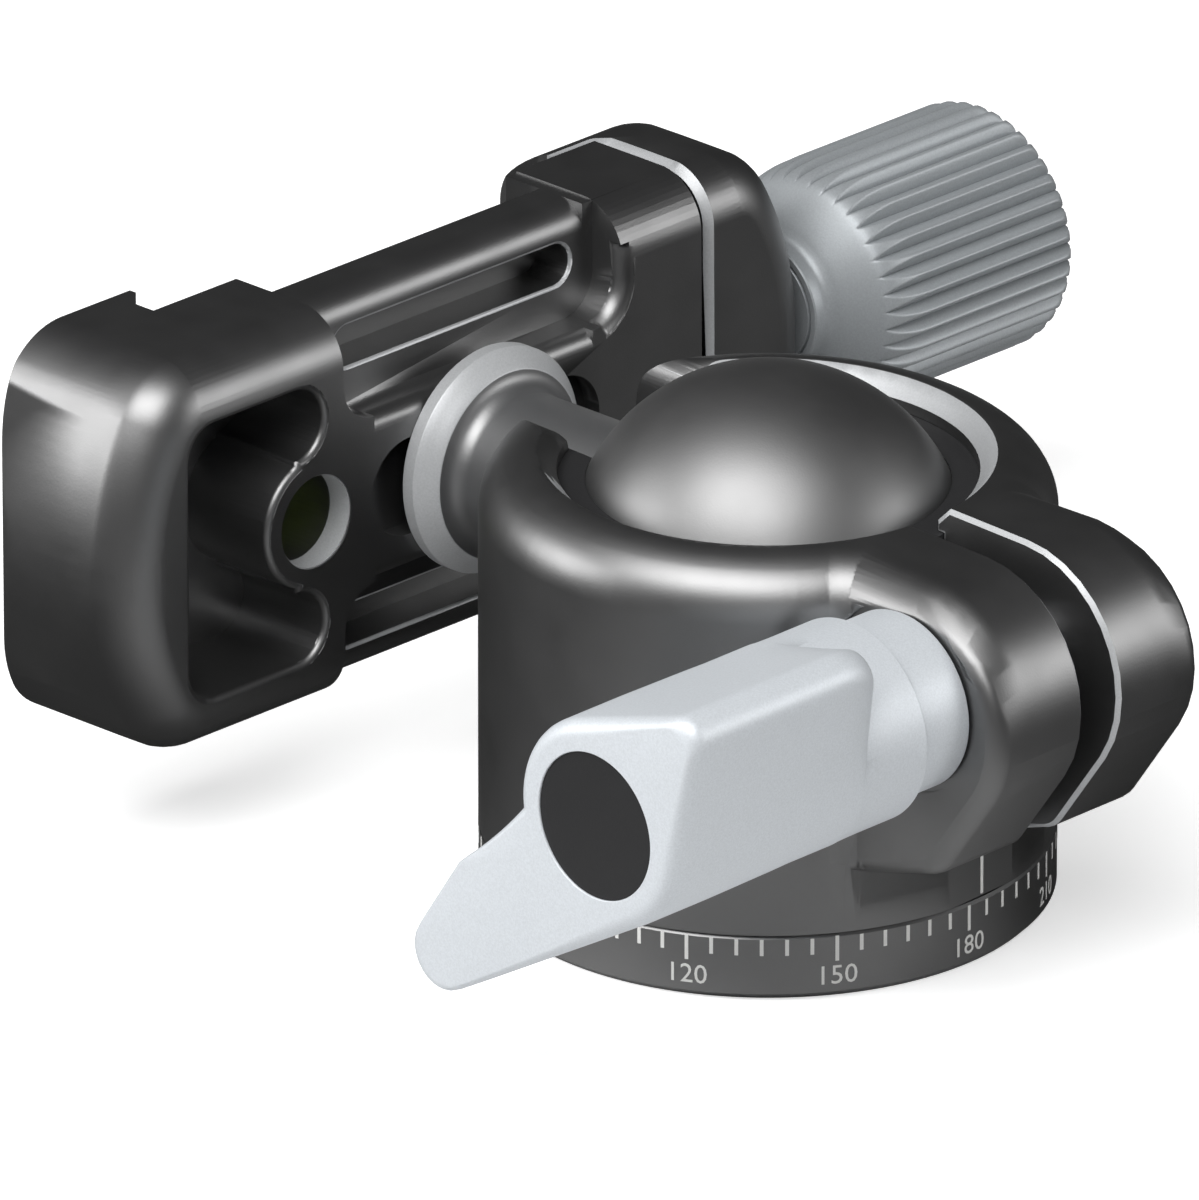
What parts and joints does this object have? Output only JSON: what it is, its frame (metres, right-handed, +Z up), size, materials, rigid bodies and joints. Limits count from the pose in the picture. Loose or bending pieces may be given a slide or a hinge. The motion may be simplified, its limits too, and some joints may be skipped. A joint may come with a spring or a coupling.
{
  "type": "tripod ball head",
  "caption": "Compact camera ball head on a panning base with a degree scale, its neck laid in the drop notch, with a lever lock on a split lug and a knob-operated dovetail clamp.",
  "frame": {"origin": "on the pan axis, in the face that sits on the tripod, where the mouth of the tripod thread is", "axes": "+Z up along the pan axis; the neck lies in its drop notch towards -X; the split lug is on +X; the lever's handle lies along -Y and the clamp's knob along +Y"},
  "size_m": [0.0747, 0.095, 0.0384],
  "materials": {
    "black_anodised": "fine matt black anodised",
    "silver_anodised": "satin silver anodised",
    "grey_anodised": "satin grey anodised",
    "steel": "turned",
    "dark_steel": "blackened",
    "black_plastic": "fine matt",
    "liner_plastic": "smooth",
    "level_liquid": "clear"
  },
  "bodies": {
    "base": {"scale_ring": "black_anodised", "pan_spindle": "steel", "thread_bush": "steel", "base_screws": "dark_steel", "friction_pad": "liner_plastic", "retaining_clip": "dark_steel"},
    "housing": {"housing": "black_anodised", "pan_shim": "steel", "lower_cup": "liner_plastic", "cup_spring": "steel", "seat_liner": "liner_plastic", "lug_nut": "steel"},
    "lever": {"clamp_stud": "steel", "thrust_collar": "silver_anodised", "lever_handle": "silver_anodised", "lever_screw": "dark_steel", "lever_cap": "black_plastic"},
    "ball": {"ball": "black_anodised"},
    "clamp": {"stem": "black_anodised", "clamp_body": "black_anodised", "clamp_bolt": "dark_steel", "level_bezel": "steel", "spirit_level": "level_liquid"},
    "jaw": {"moving_jaw": "black_anodised", "jaw_pins": "steel"},
    "knob": {"knob": "grey_anodised", "clamp_screw": "steel", "screw_clip": "dark_steel"}
  },
  "joints": [
    {"name": "pan", "type": "hinge", "parent": "base", "child": "housing", "pos_m": [0, 0, 0.006], "axis": [0, 0, 1], "continuous": true},
    {"name": "lever_turn", "type": "hinge", "parent": "housing", "child": "lever", "pos_m": [0.023, 0, 0.0244], "axis": [0, -1, 0], "range_deg": [0, 90]},
    {"name": "ball_tilt", "type": "hinge", "parent": "housing", "child": "ball", "pos_m": [0, 0, 0.0242], "axis": [0, 1, 0], "range_deg": [0, 125]},
    {"name": "ball_spin", "type": "hinge", "parent": "ball", "child": "clamp", "pos_m": [0, 0, 0.0242], "axis": [-0.9996, -0.0113, -0.0244], "continuous": true},
    {"name": "jaw_slide", "type": "slide", "parent": "clamp", "child": "jaw", "axis": [-0.0109, 0.9998, -0.0192], "range_m": [-0.0006, 0.0041]},
    {"name": "knob_turn", "type": "hinge", "parent": "jaw", "child": "knob", "pos_m": [-0.03292, 0.03962, 0.02264], "axis": [-0.0109, 0.9998, -0.0192], "range_deg": [-275, 1860]}
  ],
  "couplings": [
    {"joint": "knob_turn", "follows": "jaw_slide", "rad_per_m": 7854}
  ]
}
